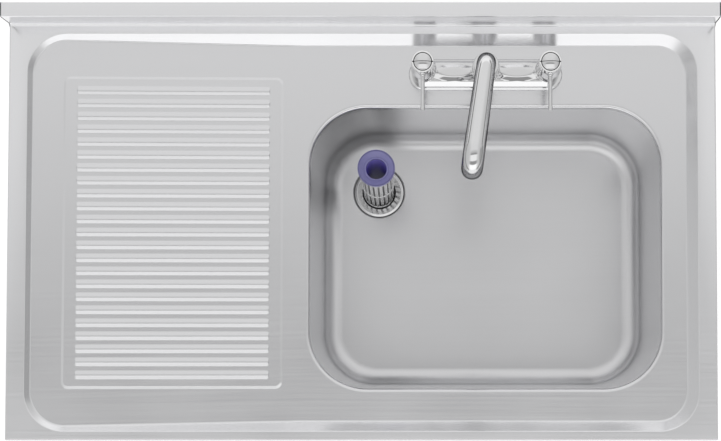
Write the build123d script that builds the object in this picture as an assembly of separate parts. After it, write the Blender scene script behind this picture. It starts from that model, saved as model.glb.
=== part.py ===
from build123d import *
from math import atan, cos, degrees, radians, sin, sqrt, tan
import os

# Frame: +X to the right, +Y to the back, +Z up. The origin is the middle of the face that rests on the
# cabinet, so the aprons stand above Z = 0 and the bowl hangs below it.

# Sink top, one folded and pressed sheet
top_length = 1000.0
top_depth = 610.0
sheet = 1.5
apron_height = 40.0
return_flange = 18.0
rim_edge_radius = 2.0
upstand_height = 30.0
upstand_rail_depth = 19.5
upstand_cove_radius = 4.0

# Sunken deck inside the rim
rim_side = 26.0
rim_front = 13.0
rim_back = 15.5
deck_drop = 15.0
slope_run = 13.5
deck_corner_radius = 56.0
drainer_drop_left = 7.0
drainer_break_gap = 14.0

# Ribbed drainer
pad_side_margin = 51.0
pad_break_gap = 26.0
pad_end_margin = 61.0
pad_rise = 1.2
pad_root = 3.0
pad_corner_radius = 8.5
rib_pitch = 18.36
rib_end_gap = 17.25
rib_side_gap = 10.0
rib_width = 12.6
rib_height = 2.6
rib_crest_width = 1.0
rib_crest_shift = 0.7

# Bowl
bowl_length = 500.0
bowl_depth = 200.0
bowl_side_margin = 75.5
bowl_front_margin = 72.5
bowl_back_margin = 137.5
bowl_corner_radius = 82.0
bowl_draft = 1.5
bowl_floor_radius = 26.0
lip_depth = 8.0
lip_radius = 3.0

# Underside of the top
channel_height = 13.0
channel_width = 40.0
channel_flange = 12.0
channel_end_margin = 20.0
channel_share = 0.25
gusset_side = 70.0
gusset_thickness = 3.0
fixing_inset = 27.0
fixing_hole_radius = 3.5
damping_length = 250.0
damping_width = 230.0
damping_thickness = 4.0
damping_shift = 45.0

# Waste
waste_from_left = 84.5
waste_from_back = 91.0
waste_recess_radius = 41.0
waste_recess_depth = 3.0
waste_clearance = 2.0
flange_radius = 39.5
flange_thickness = 2.5
flange_slope_radius = 35.5
cup_radius = 27.7
cup_lip_drop = 1.5
cup_depth = 8.0
cup_wall = 2.5
cup_floor = 4.0
outlet_bore_radius = 19.5
seat_chamfer = 1.0
barrel_length = 19.0
outlet_thread_radius = 23.9
outlet_length = 43.0
waste_seal_thickness = 1.0
waste_washer_thickness = 3.0
waste_nut_height = 9.0
waste_nut_radius = 44.0
waste_nut_sides = 8
waste_gap = 0.8

# Standing overflow, a loose fit that leans to the right and to the back in its round seat
standpipe_lean = 3.8
standpipe_heading = 42.0
plug_radius = 22.0
plug_below_centre = 13.0
plug_above_centre = 8.0
pipe_radius = 18.0
pipe_bore_radius = 15.0
sleeve_radius = 24.0
sleeve_wall = 1.0
slot_count = 20
slot_width = 3.4
slot_tiers = 2
slot_end_margin = 9.0
slot_band = 7.0
slot_cut_depth = 4.0
cap_radius = 27.0
cap_height = 12.0
cap_rim_height = 4.0
cap_rim_width = 1.6
cap_dish_depth = 8.0
cap_lip_width = 1.5
cap_edge = 1.0
cap_below_rim = 30.0

# Mixer, pieces fixed to the deck
tap_from_back = 87.0
handle_spacing = 175.8
gasket_thickness = 1.0
gasket_inset = 1.5
plate_end_reach = 21.35
plate_width = 50.0
plate_thickness = 5.0
plate_edge = 1.5
arm_width = 40.0
arm_height = 22.0
tower_radius = 17.5
tower_height = 24.0
boss_radius = 19.0
boss_height = 27.0
boss_edge = 2.0
waterway_radius = 5.0
waterway_height = 8.0
socket_radius = 15.5
socket_floor = 11.0
spout_nut_height = 8.0
spout_nut_radius = 17.5
spout_nut_edge = 1.5
cartridge_radius = 10.0
cartridge_floor = 6.0
cartridge_top = 31.0
bonnet_height = 13.5
bonnet_foot_radius = 17.0
bonnet_top_radius = 14.6
bonnet_wall = 2.5

# Supply tails under the deck
tail_thread_radius = 10.48
tail_neck_radius = 10.3
tail_bore_radius = 6.5
tail_socket_depth = 3.5
tail_below_deck = 60.0
tail_thread_length = 44.0
tail_hole_radius = 11.5
tail_washer_radius = 17.0
tail_washer_thickness = 2.0
tail_nut_radius = 15.6
tail_nut_height = 8.0
tail_nut_sides = 6

# Handles
hub_radius = 15.5
hub_height = 13.0
hub_web = 1.2
hub_edge = 1.0
cap_seat_depth = 2.0
handle_cap_radius = 14.6
handle_cap_dome = 3.0
handle_cap_slot = 0.6
handle_cap_slot_depth = 0.5
screw_pocket_radius = 6.0
spindle_radius = 4.0
spindle_depth = 20.0
screw_radius = 2.0
screw_head_radius = 3.8
screw_head_height = 2.4
screw_length = 9.0
lever_reach = 66.0
lever_radius = 2.8
lever_collar_radius = 5.0
lever_collar_length = 5.5
lever_spigot_radius = 2.5
lever_spigot_length = 4.5
lever_tip_radius = 3.5
lever_tip_length = 5.0

# Spout
spout_reach = 158.0
spout_swing = 7.6
spout_rise_angle = 22.0
spout_root_radius = 13.0
spout_end_radius = 14.0
spout_wall = 1.6
spout_column_top = 47.0
spout_foot_gap = 0.5
root_bend_radius = 30.0
end_bend_radius = 17.0
nozzle_length = 6.0
aerator_height = 12.0
aerator_wall = 2.0
aerator_edge = 1.0
insert_height = 6.0
insert_hole_radius = 1.6
insert_hole_ring = 6.0
insert_hole_count = 8

# Fits
running_gap = 0.05
seat_gap = 0.1
free_gap = 0.3

# Levels and places worked out from the sizes above
rim_z = apron_height
deck_z = rim_z - deck_drop
upstand_top_z = rim_z + upstand_height
right_x = top_length / 2
back_y = top_depth / 2
upstand_face_y = back_y - upstand_rail_depth
recess_length = top_length - 2 * rim_side
recess_front_y = -back_y + rim_front
recess_back_y = upstand_face_y - rim_back
recess_depth = recess_back_y - recess_front_y
recess_y = (recess_back_y + recess_front_y) / 2
recess_left_x = -recess_length / 2
bowl_width = top_depth - bowl_front_margin - bowl_back_margin
bowl_x = right_x - bowl_side_margin - bowl_length / 2
bowl_y = -back_y + bowl_front_margin + bowl_width / 2
bowl_left_x = bowl_x - bowl_length / 2
bowl_back_y = bowl_y + bowl_width / 2
seam_z = deck_z - lip_depth
floor_z = rim_z - bowl_depth
break_x = bowl_left_x - drainer_break_gap
slope_angle = atan(deck_drop / slope_run)
drainer_foot_x = recess_left_x + drainer_drop_left * slope_run / deck_drop
drainer_tilt = atan((deck_drop - drainer_drop_left) / (break_x - drainer_foot_x))
pad_left_x = recess_left_x + pad_side_margin
pad_length = break_x - pad_break_gap - pad_left_x
pad_depth = recess_depth - 2 * pad_end_margin
pad_x = pad_left_x + pad_length / 2
rib_length = pad_length - 2 * rib_end_gap
rib_count = 1 + int((pad_depth - 2 * rib_side_gap - rib_width) / rib_pitch)
waste_x = bowl_left_x + waste_from_left
waste_y = bowl_back_y - waste_from_back
tap_x = bowl_x
plate_length = handle_spacing + 2 * plate_end_reach
tap_y = back_y - tap_from_back
plate_base_z = deck_z + gasket_thickness
body_base_z = plate_base_z + plate_thickness
tower_top_z = body_base_z + tower_height
bonnet_top_z = tower_top_z + bonnet_height
hub_base_z = bonnet_top_z + free_gap
hub_top_z = hub_base_z + hub_height
lever_z = hub_base_z + hub_height / 2
cap_seat_z = hub_top_z - cap_seat_depth
screw_seat_z = cap_seat_z - screw_head_height - cap_seat_depth
spindle_top_z = screw_seat_z - hub_web
handle_places = {"left": tap_x - handle_spacing / 2, "right": tap_x + handle_spacing / 2}

upward = (Align.CENTER, Align.CENTER, Align.MIN)
reach_over = 1.0
level_match = 0.01


def disc(radius, low, high):
    """An upright cylinder between two levels."""
    return Pos(0, 0, low) * Cylinder(radius, high - low, align=upward)


def ring(outer, inner, low, high):
    """An upright tube between two levels."""
    return disc(outer, low, high) - disc(inner, low - reach_over, high + reach_over)


def turned(points):
    """A turned piece: a closed outline of (radius, height) points spun round the upright axis."""
    outline = Plane.XZ * make_face(Polyline(*points, close=True))
    return revolve(outline, Axis.Z)


def slab(length, depth, low, high):
    """An upright box between two levels, centred on the axis."""
    return Pos(0, 0, low) * Box(length, depth, high - low, align=upward)


def edges_at(solid, level, x_range, y_range):
    """The edges of a solid that lie at one level inside a window of X and Y."""
    flat = solid.edges().filter_by_position(Axis.Z, level - level_match, level + level_match)
    return flat.filter_by_position(Axis.X, *x_range).filter_by_position(Axis.Y, *y_range)


# ---- Sink top ----

def recess_block(grow):
    """The hollow of the sunken deck, or with grow the same hollow let out by the sheet's thickness."""
    side_shift = grow / sin(slope_angle)
    drop = deck_drop + grow
    inset = slope_run * drop / deck_drop
    upper = RectangleRounded(
        recess_length + 2 * side_shift, recess_depth + 2 * side_shift, deck_corner_radius + side_shift
    )
    lower = RectangleRounded(
        recess_length + 2 * (side_shift - inset),
        recess_depth + 2 * (side_shift - inset),
        deck_corner_radius + side_shift - inset,
    )
    block = loft([Pos(0, recess_y, rim_z) * upper, Pos(0, recess_y, rim_z - drop) * lower], ruled=True)
    # the drainer's floor climbs from the bowl's side to the left rim
    far_x = recess_left_x - rim_side
    far_z = deck_z - grow + (break_x - far_x) * tan(drainer_tilt)
    below_z = deck_z - grow - deck_drop
    wedge = make_face(
        Polyline(
            (break_x, deck_z - grow), (far_x, far_z), (far_x, below_z), (break_x, below_z), close=True
        )
    )
    climb = extrude(Plane.XZ * wedge, amount=top_depth / 2, both=True)
    return block - climb


drainer_frame = Pos(break_x, 0, deck_z) * Rot(0, degrees(drainer_tilt), 0)
pad_local_x = (pad_x - break_x) / cos(drainer_tilt)


def drainer_form(lower):
    """The raised pad and its ribs in the drainer's tilted frame, set down by the given depth."""
    outline = RectangleRounded(pad_length, pad_depth, pad_corner_radius)
    pad = Pos(0, 0, -pad_root) * extrude(outline, amount=pad_root + pad_rise)
    flank = (rib_width - rib_crest_width) / (2 * rib_height)
    foot = SlotOverall(rib_length + 2 * flank * pad_rise, rib_width + 2 * flank * pad_rise)
    crest = SlotOverall(rib_length - rib_width + rib_crest_width, rib_crest_width)
    crest_place = Pos(0, -rib_crest_shift, pad_rise + rib_height)
    rib = loft([foot, crest_place * crest], ruled=True)
    first_y = -rib_pitch * (rib_count - 1) / 2
    ribs = [Pos(0, first_y + rib_pitch * i, 0) * rib for i in range(rib_count)]
    form = pad + ribs
    return drainer_frame * Pos(pad_local_x, recess_y, -lower) * form


def mouth(grow):
    """The bowl's mouth as a flat outline, let out by grow."""
    outline = RectangleRounded(bowl_length + 2 * grow, bowl_width + 2 * grow, bowl_corner_radius + grow)
    return Pos(bowl_x, bowl_y, 0) * outline


def make_worktop():
    """Rim, sunken deck, ribbed drainer, upstand and aprons as one sheet of even thickness."""
    rail_y = back_y - upstand_rail_depth / 2
    outside = slab(top_length, top_depth, 0, rim_z)
    outside += Pos(0, rail_y, 0) * slab(top_length, upstand_rail_depth, rim_z - sheet, upstand_top_z)
    rim_lines = outside.edges().filter_by(Axis.X).filter_by_position(Axis.Z, rim_z, rim_z)
    outside = fillet(rim_lines.sort_by(Axis.Y)[-1], upstand_cove_radius)
    rim_lines = outside.edges().filter_by(Axis.X).filter_by_position(Axis.Z, rim_z, rim_z)
    outside = fillet(rim_lines.sort_by(Axis.Y)[0], rim_edge_radius)
    pressing = recess_block(0) - drainer_form(0)
    pressing_under = recess_block(sheet) - drainer_form(sheet)
    inside = slab(top_length - 2 * sheet, top_depth - 2 * sheet, sheet, rim_z - sheet)
    inside += Pos(0, rail_y, 0) * slab(
        top_length - 2 * sheet, upstand_rail_depth - 2 * sheet, deck_z, upstand_top_z - sheet
    )
    doorway = slab(top_length - 2 * return_flange, top_depth - 2 * return_flange, -reach_over, 2 * sheet)
    inside = inside + doorway - pressing_under
    top = outside - pressing - inside
    lip = extrude(Pos(0, 0, seam_z) * mouth(sheet), amount=lip_depth - sheet / 2)
    top += lip
    top -= extrude(Pos(0, 0, seam_z - reach_over) * mouth(0), amount=lip_depth + 2 * reach_over)
    clear = sheet
    window_x = (bowl_left_x - clear, bowl_left_x + bowl_length + clear)
    window_y = (bowl_y - bowl_width / 2 - clear, bowl_back_y + clear)
    top = fillet(edges_at(top, deck_z, window_x, window_y), lip_radius)
    for x in handle_places.values():
        top -= Pos(x, tap_y, 0) * disc(tail_hole_radius, deck_z - 2 * sheet, deck_z + reach_over)
    return top


def bowl_block(grow):
    """The bowl's hollow from the seam down to the floor, let out by grow."""
    upper = Pos(0, 0, seam_z) * mouth(grow)
    lower = Pos(0, 0, floor_z - grow) * mouth(grow - bowl_draft)
    block = loft([upper, lower], ruled=True)
    bottom = block.edges().group_by(Axis.Z)[0]
    return fillet(bottom, bowl_floor_radius + grow)


def make_bowl():
    """Deep-drawn bowl with a shallow seat pressed into its floor round the waste."""
    at_waste = Pos(waste_x, waste_y, 0)
    seat_z = floor_z - waste_recess_depth
    shell = bowl_block(sheet) + at_waste * disc(waste_recess_radius + sheet, seat_z - sheet, floor_z - sheet / 2)
    hollow = bowl_block(0) + at_waste * disc(waste_recess_radius, seat_z, floor_z + waste_clearance)
    hole = at_waste * disc(barrel_radius + waste_gap, seat_z - 2 * sheet, floor_z)
    return shell - hollow - hole


def make_stiffeners():
    """Two top-hat channels bonded under the drainer's pad, running from front to back."""
    top_z = pad_rise - sheet
    low_z = top_z - channel_height
    half = channel_width / 2
    length = pad_depth - 2 * channel_end_margin
    hat = make_face(
        Polyline(
            (-half - channel_flange, top_z),
            (-half + sheet, top_z),
            (-half + sheet, low_z + sheet),
            (half - sheet, low_z + sheet),
            (half - sheet, top_z),
            (half + channel_flange, top_z),
            (half + channel_flange, top_z - sheet),
            (half, top_z - sheet),
            (half, low_z),
            (-half, low_z),
            (-half, top_z - sheet),
            (-half - channel_flange, top_z - sheet),
            close=True,
        )
    )
    channel = extrude(Plane.XZ * hat, amount=length / 2, both=True)
    spread = pad_length * channel_share
    places = [pad_local_x - spread, pad_local_x + spread]
    return [drainer_frame * Pos(x, recess_y, 0) * channel for x in places]


def make_gussets():
    """Four corner plates welded on the return flange, each with one fixing hole."""
    corner = make_face(Polyline((0, 0), (gusset_side, 0), (0, gusset_side), close=True))
    plate = extrude(corner, amount=gusset_thickness)
    plate -= Pos(fixing_inset, fixing_inset, 0) * disc(
        fixing_hole_radius, -reach_over, gusset_thickness + reach_over
    )
    edge_x = right_x - sheet
    edge_y = back_y - sheet
    turns = [(-edge_x, -edge_y, 0), (edge_x, -edge_y, 90), (edge_x, edge_y, 180), (-edge_x, edge_y, 270)]
    return [Pos(x, y, sheet) * Rot(0, 0, turn) * plate for x, y, turn in turns]


def make_damping_pad():
    """Soft sheet stuck under the bowl's floor."""
    under_z = floor_z - sheet
    return Pos(bowl_x + damping_shift, bowl_y, 0) * slab(
        damping_length, damping_width, under_z - damping_thickness, under_z
    )


# ---- Waste ----

barrel_radius = cup_radius + cup_wall
waste_seat_z = floor_z - waste_recess_depth
flange_under_z = waste_seat_z + waste_seal_thickness
flange_top_z = flange_under_z + flange_thickness
cup_lip_z = flange_top_z - cup_lip_drop
ledge_z = cup_lip_z - cup_depth
bore_top_z = ledge_z - cup_floor
barrel_end_z = waste_seat_z - barrel_length
outlet_end_z = barrel_end_z - outlet_length
bowl_under_z = waste_seat_z - sheet
washer_under_z = bowl_under_z - waste_washer_thickness
nut_under_z = washer_under_z - waste_nut_height


def make_waste_body():
    """Flange, cup and threaded outlet tail turned in one piece."""
    return turned(
        [
            (flange_slope_radius, flange_top_z),
            (flange_radius, flange_top_z - cup_lip_drop),
            (flange_radius, flange_under_z),
            (barrel_radius, flange_under_z),
            (barrel_radius, barrel_end_z),
            (outlet_thread_radius, barrel_end_z),
            (outlet_thread_radius, outlet_end_z),
            (outlet_bore_radius, outlet_end_z),
            (outlet_bore_radius, bore_top_z - seat_chamfer),
            (outlet_bore_radius + seat_chamfer, bore_top_z),
            (outlet_thread_radius, bore_top_z),
            (cup_radius, ledge_z),
            (cup_radius, cup_lip_z),
        ]
    )


def make_waste():
    """The fixed waste, clamped through the bowl's floor by its nut."""
    at_waste = Pos(waste_x, waste_y, 0)
    hole_radius = barrel_radius + waste_gap
    nut_outline = RegularPolygon(waste_nut_radius, waste_nut_sides)
    nut = Pos(0, 0, nut_under_z) * extrude(nut_outline, amount=waste_nut_height)
    nut -= disc(barrel_radius + seat_gap, nut_under_z - reach_over, washer_under_z + reach_over)
    return {
        "waste_body": at_waste * make_waste_body(),
        "waste_upper_seal": at_waste * ring(flange_radius - waste_gap, hole_radius, waste_seat_z, flange_under_z),
        "waste_lower_seal": at_waste * ring(waste_recess_radius, hole_radius, washer_under_z, bowl_under_z),
        "waste_backnut": at_waste * nut,
    }


# ---- Standing overflow ----

# the plug's round nose rests on the rim of the outlet bore, at the foot of its chamfer
seat_edge_radius = outlet_bore_radius + seat_chamfer / 2
nose_rise = sqrt((plug_radius + free_gap) ** 2 - seat_edge_radius**2)
plug_centre_z = bore_top_z - seat_chamfer / 2 + nose_rise
lean = radians(standpipe_lean)
cap_top = (rim_z - cap_below_rim - plug_centre_z) / cos(lean)
cap_foot = cap_top - cap_height
sleeve_foot = ledge_z - plug_centre_z + sleeve_radius * sin(lean) + free_gap
standpipe_frame = (
    Pos(waste_x, waste_y, plug_centre_z) * Rot(0, 0, standpipe_heading) * Rot(0, standpipe_lean, 0)
)


def make_plug():
    """Round-nosed rubber plug, open through its middle for the overflowing water."""
    ball = Sphere(plug_radius) & disc(plug_radius, -plug_below_centre, plug_above_centre)
    return ball - disc(pipe_bore_radius, -plug_radius, plug_radius)


def make_sleeve():
    """Strainer sleeve with tiers of upright slots cut all round."""
    sleeve = ring(sleeve_radius, sleeve_radius - sleeve_wall, sleeve_foot, cap_foot)
    slotted = cap_foot - sleeve_foot - 2 * slot_end_margin
    slot_height = (slotted - slot_band * (slot_tiers - 1)) / slot_tiers
    cutter = Pos(sleeve_radius, 0, 0) * Box(slot_cut_depth, slot_width, slot_height, align=upward)
    cutters = []
    for tier in range(slot_tiers):
        low = sleeve_foot + slot_end_margin + tier * (slot_height + slot_band)
        for i in range(slot_count):
            cutters.append(Rot(0, 0, 360 * i / slot_count) * Pos(0, 0, low) * cutter)
    return sleeve - cutters


def make_cap():
    """Moulded ring cap whose top dishes down to the bore."""
    lip_radius_out = pipe_bore_radius + cap_lip_width
    return turned(
        [
            (pipe_bore_radius, cap_foot),
            (sleeve_radius, cap_foot),
            (cap_radius, cap_top - cap_rim_height),
            (cap_radius, cap_top - cap_edge),
            (cap_radius - cap_edge, cap_top),
            (cap_radius - cap_edge - cap_rim_width, cap_top),
            (lip_radius_out, cap_top - cap_dish_depth),
            (pipe_bore_radius, cap_top - cap_dish_depth - cap_lip_width),
        ]
    )


def make_standpipe():
    """The overflow that lifts out as one: plug, pipe, strainer sleeve and cap."""
    pipe = ring(pipe_radius, pipe_bore_radius, plug_above_centre, cap_foot)
    return {
        "standpipe_plug": standpipe_frame * make_plug(),
        "overflow_tube": standpipe_frame * pipe,
        "strainer_sleeve": standpipe_frame * make_sleeve(),
        "overflow_cap": standpipe_frame * make_cap(),
    }


# ---- Mixer, fixed pieces ----

waterway_z = body_base_z + waterway_height
socket_floor_z = body_base_z + socket_floor
boss_top_z = body_base_z + boss_height
cartridge_floor_z = body_base_z + cartridge_floor
cartridge_top_z = body_base_z + cartridge_top
tail_top_z = body_base_z + tail_socket_depth
tail_end_z = deck_z - sheet - tail_below_deck
spout_foot_z = socket_floor_z + spout_foot_gap


def tap_holes(radius, low, high):
    """One upright cylinder under each valve."""
    return [Pos(x - tap_x, 0, 0) * disc(radius, low, high) for x in handle_places.values()]


def make_mixer_body():
    """Cast body: a domed bar between two valve towers, with the spout's boss in the middle."""
    arch = Ellipse(arm_width / 2, arm_height) & Pos(0, arm_height / 2) * Rectangle(arm_width, arm_height)
    bar = extrude(Plane.YZ * arch, amount=handle_spacing / 2, both=True)
    body = Pos(0, 0, body_base_z) * bar
    boss = disc(boss_radius, body_base_z, boss_top_z)
    boss = chamfer(boss.edges().sort_by(Axis.Z)[-1], boss_edge)
    body += [boss] + tap_holes(tower_radius, body_base_z, tower_top_z)
    body -= disc(socket_radius, socket_floor_z, boss_top_z + reach_over)
    body -= disc(waterway_radius, waterway_z, socket_floor_z + reach_over)
    body -= Pos(0, 0, waterway_z) * Rot(0, 90, 0) * Cylinder(waterway_radius, handle_spacing)
    body -= tap_holes(cartridge_radius, cartridge_floor_z, tower_top_z + reach_over)
    body -= tap_holes(waterway_radius, body_base_z - reach_over, cartridge_floor_z + reach_over)
    body -= tap_holes(tail_neck_radius + seat_gap, body_base_z - reach_over, tail_top_z)
    return body


def make_mixer_fixed():
    """Gasket, base plate, body, spout bearing and nut, and the pieces under the deck."""
    at_tap = Pos(tap_x, tap_y, 0)
    gasket = Pos(0, 0, deck_z) * extrude(
        SlotOverall(plate_length - 2 * gasket_inset, plate_width - 2 * gasket_inset), amount=gasket_thickness
    )
    plate = Pos(0, 0, plate_base_z) * extrude(SlotOverall(plate_length, plate_width), amount=plate_thickness)
    plate = chamfer(plate.edges().group_by(Axis.Z)[-1], plate_edge)
    neck_hole = tail_neck_radius + seat_gap
    neck_holes = tap_holes(neck_hole, deck_z - reach_over, body_base_z + reach_over)
    bush = ring(
        socket_radius - seat_gap, spout_root_radius + running_gap, socket_floor_z + spout_foot_gap, boss_top_z
    )
    nut = disc(spout_nut_radius, boss_top_z, boss_top_z + spout_nut_height)
    nut = chamfer(nut.edges().sort_by(Axis.Z)[-1], spout_nut_edge)
    nut -= disc(spout_root_radius + free_gap, boss_top_z - reach_over, boss_top_z + 2 * spout_nut_height)
    under_z = deck_z - sheet
    washer_low = under_z - tail_washer_thickness
    nut_low = washer_low - tail_nut_height
    washer = ring(tail_washer_radius, neck_hole, washer_low, under_z)
    nut_outline = RegularPolygon(tail_nut_radius, tail_nut_sides)
    back_nut = Pos(0, 0, nut_low) * extrude(nut_outline, amount=tail_nut_height)
    back_nut -= disc(neck_hole, nut_low - reach_over, washer_low + reach_over)
    return {
        "mixer_gasket": at_tap * (gasket - neck_holes),
        "mixer_base_plate": at_tap * (plate - neck_holes),
        "mixer_body": at_tap * make_mixer_body(),
        "spout_bush": at_tap * bush,
        "spout_nut": at_tap * nut,
        "tail_washers": [Pos(x, tap_y, 0) * washer for x in handle_places.values()],
        "tail_backnuts": [Pos(x, tap_y, 0) * back_nut for x in handle_places.values()],
    }


def make_tail():
    """Supply tail: a plain neck through the deck and a threaded end below it."""
    thread_top_z = tail_end_z + tail_thread_length
    tail = disc(tail_thread_radius, tail_end_z, thread_top_z)
    tail += disc(tail_neck_radius, thread_top_z, tail_top_z)
    return tail - disc(tail_bore_radius, tail_end_z - reach_over, tail_top_z + reach_over)


# ---- Valves and handles ----

def make_cartridge():
    """Brass valve body with a running bore for the spindle."""
    spindle_foot_z = spindle_top_z - spindle_depth
    body = disc(cartridge_radius - seat_gap, cartridge_floor_z, cartridge_top_z)
    return body - disc(spindle_radius + running_gap, spindle_foot_z - free_gap, cartridge_top_z + reach_over)


def make_bonnet():
    """Chromed cover that stands on the tower and hides the valve."""
    inner_foot = bonnet_foot_radius - bonnet_wall
    inner_top = bonnet_top_radius - bonnet_wall
    return turned(
        [
            (inner_foot, tower_top_z),
            (bonnet_foot_radius, tower_top_z),
            (bonnet_top_radius, bonnet_top_z),
            (spindle_radius + free_gap, bonnet_top_z),
            (spindle_radius + free_gap, bonnet_top_z - bonnet_wall),
            (inner_top, bonnet_top_z - bonnet_wall),
        ]
    )


def make_hub():
    """Round hub with a seat for its cap, a pocket for the screw and a side hole for the lever."""
    hub = disc(hub_radius, hub_base_z, hub_top_z)
    hub = fillet(hub.edges().sort_by(Axis.Z)[0], hub_edge)
    hub -= disc(handle_cap_radius + seat_gap, cap_seat_z, hub_top_z + reach_over)
    hub -= disc(screw_pocket_radius, screw_seat_z, cap_seat_z + reach_over)
    hub -= disc(spindle_radius + seat_gap, hub_base_z - reach_over, spindle_top_z)
    hub -= disc(screw_radius + seat_gap, spindle_top_z - reach_over, screw_seat_z + reach_over)
    spigot_end = hub_radius - lever_spigot_length
    side_hole = Pos(0, -spigot_end, lever_z) * Rot(90, 0, 0) * Cylinder(
        lever_spigot_radius + seat_gap, hub_radius, align=upward
    )
    return hub - side_hole


def make_handle_cap():
    """Domed cap with a fine straight groove across it."""
    span = handle_cap_radius
    dome_radius = (span**2 + handle_cap_dome**2) / (2 * handle_cap_dome)
    dome_centre_z = hub_top_z + handle_cap_dome - dome_radius
    cap = disc(span, cap_seat_z, hub_top_z)
    cap += Pos(0, 0, dome_centre_z) * Sphere(dome_radius) & disc(span, hub_top_z, hub_top_z + handle_cap_dome)
    groove = Pos(0, 0, hub_top_z + handle_cap_dome) * Box(
        2 * span, handle_cap_slot, 2 * handle_cap_slot_depth
    )
    return cap - groove


def make_spindle():
    """Valve stem, tapped for the handle's screw."""
    foot_z = spindle_top_z - spindle_depth
    stem = disc(spindle_radius, foot_z, spindle_top_z)
    return stem - disc(screw_radius + seat_gap, spindle_top_z - screw_length, spindle_top_z + reach_over)


def make_handle_screw():
    """Screw that holds the hub on its spindle."""
    shank = disc(screw_radius, screw_seat_z + free_gap - screw_length, screw_seat_z)
    return shank + disc(screw_head_radius, screw_seat_z, screw_seat_z + screw_head_height)


def lever_piece(points):
    """A turned piece along the lever, from (radius, reach) points, pointing to the front."""
    return Pos(0, 0, lever_z) * Rot(90, 0, 0) * turned(points)


def make_lever_rod():
    """Thin rod with a flared collar and a spigot that goes into the hub."""
    start = hub_radius + seat_gap
    collar_end = start + lever_collar_length
    end = lever_reach - lever_tip_length
    inner = hub_radius - lever_spigot_length + seat_gap
    return lever_piece(
        [
            (0, inner),
            (lever_spigot_radius, inner),
            (lever_spigot_radius, start),
            (lever_collar_radius, start),
            (lever_radius, collar_end),
            (lever_radius, end),
            (0, end),
        ]
    )


def make_lever_tip():
    """Thicker end of the rod."""
    return lever_piece(
        [
            (0, lever_reach - lever_tip_length),
            (lever_tip_radius, lever_reach - lever_tip_length),
            (lever_tip_radius, lever_reach),
            (0, lever_reach),
        ]
    )


def make_valve(side):
    """One valve and its handle, placed over its supply tail."""
    makers = {
        "inlet_tail": make_tail,
        "cartridge": make_cartridge,
        "bonnet": make_bonnet,
        "spindle": make_spindle,
        "handle_hub": make_hub,
        "handle_screw": make_handle_screw,
        "handle_cap": make_handle_cap,
        "lever_rod": make_lever_rod,
        "lever_tip": make_lever_tip,
    }
    place = Pos(handle_places[side], tap_y, 0)
    return {f"{side}_{name}": place * make() for name, make in makers.items()}


# ---- Spout ----

root_turn = 90 - spout_rise_angle
end_turn = 90 + spout_rise_angle
rise = radians(spout_rise_angle)
straight_start = root_bend_radius * (1 - sin(rise))
straight_end = spout_reach - end_bend_radius * (1 + sin(rise))
straight_length = (straight_end - straight_start) / cos(rise)


def bend_end(bend_radius, turn):
    """Where a bend that starts straight up ends, and which way it then points."""
    angle = radians(turn)
    return Pos(bend_radius * (1 - cos(angle)), 0, bend_radius * sin(angle)) * Rot(0, turn, 0)


def elbow(radius, bend_radius, turn):
    """A round bar bent forwards from straight up."""
    return revolve(Circle(radius), Axis((bend_radius, 0, 0), (0, 1, 0)), turn)


column_height = body_base_z - plate_thickness + spout_column_top - spout_foot_z
root_bend_frame = Pos(0, 0, spout_foot_z + column_height)
straight_frame = root_bend_frame * bend_end(root_bend_radius, root_turn)
end_bend_frame = straight_frame * Pos(0, 0, straight_length)
nozzle_frame = end_bend_frame * bend_end(end_bend_radius, end_turn)
housing_frame = nozzle_frame * Pos(0, 0, nozzle_length)
spout_place = Pos(tap_x, tap_y, 0) * Rot(0, 0, -90 - spout_swing)


def spout_bar(inset):
    """The spout as a solid bar, thinner by inset all round: column, bend, widening run, bend and nozzle."""
    root = spout_root_radius - inset
    end = spout_end_radius - inset
    return (
        disc(root, spout_foot_z, spout_foot_z + column_height)
        + root_bend_frame * elbow(root, root_bend_radius, root_turn)
        + straight_frame * Cone(root, end, straight_length, align=upward)
        + end_bend_frame * elbow(end, end_bend_radius, end_turn)
        + nozzle_frame * disc(end, 0, nozzle_length)
    )


def make_spout():
    """Swivel spout with the flow housing and its insert at the outlet."""
    housing = disc(spout_end_radius, 0, aerator_height)
    housing = chamfer(housing.edges().sort_by(Axis.Z)[-1], aerator_edge)
    bore = spout_end_radius - aerator_wall
    housing -= disc(bore, -reach_over, aerator_height + reach_over)
    low = aerator_height - insert_height - aerator_edge
    insert = disc(bore - seat_gap, low, low + insert_height)
    holes = [
        Rot(0, 0, 360 * i / insert_hole_count) * Pos(insert_hole_ring, 0, 0)
        * disc(insert_hole_radius, low - reach_over, aerator_height)
        for i in range(insert_hole_count)
    ]
    return {
        "spout_tube": spout_place * (spout_bar(0) - spout_bar(spout_wall)),
        "aerator_housing": spout_place * housing_frame * housing,
        "aerator_insert": spout_place * housing_frame * (insert - holes),
    }


# ---- Every piece, by name ----

pieces = {
    "worktop": make_worktop(),
    "bowl": make_bowl(),
    "drainer_stiffeners": make_stiffeners(),
    "corner_gussets": make_gussets(),
    "bowl_damping_pad": make_damping_pad(),
    **make_waste(),
    **make_standpipe(),
    **make_mixer_fixed(),
    **make_valve("left"),
    **make_valve("right"),
    **make_spout(),
}

os.makedirs("parts", exist_ok=True)
for name, piece in pieces.items():
    solids = piece if isinstance(piece, list) else [piece]
    group = Compound(children=[s for part in solids for s in part.solids()])
    export_step(group, f"parts/{name}.step")
    print(name, len(group.solids()), round(group.volume))
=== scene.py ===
import bmesh
import bpy
import numpy as np
from mathutils import Matrix, Vector
from mathutils.geometry import delaunay_2d_cdt


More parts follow.
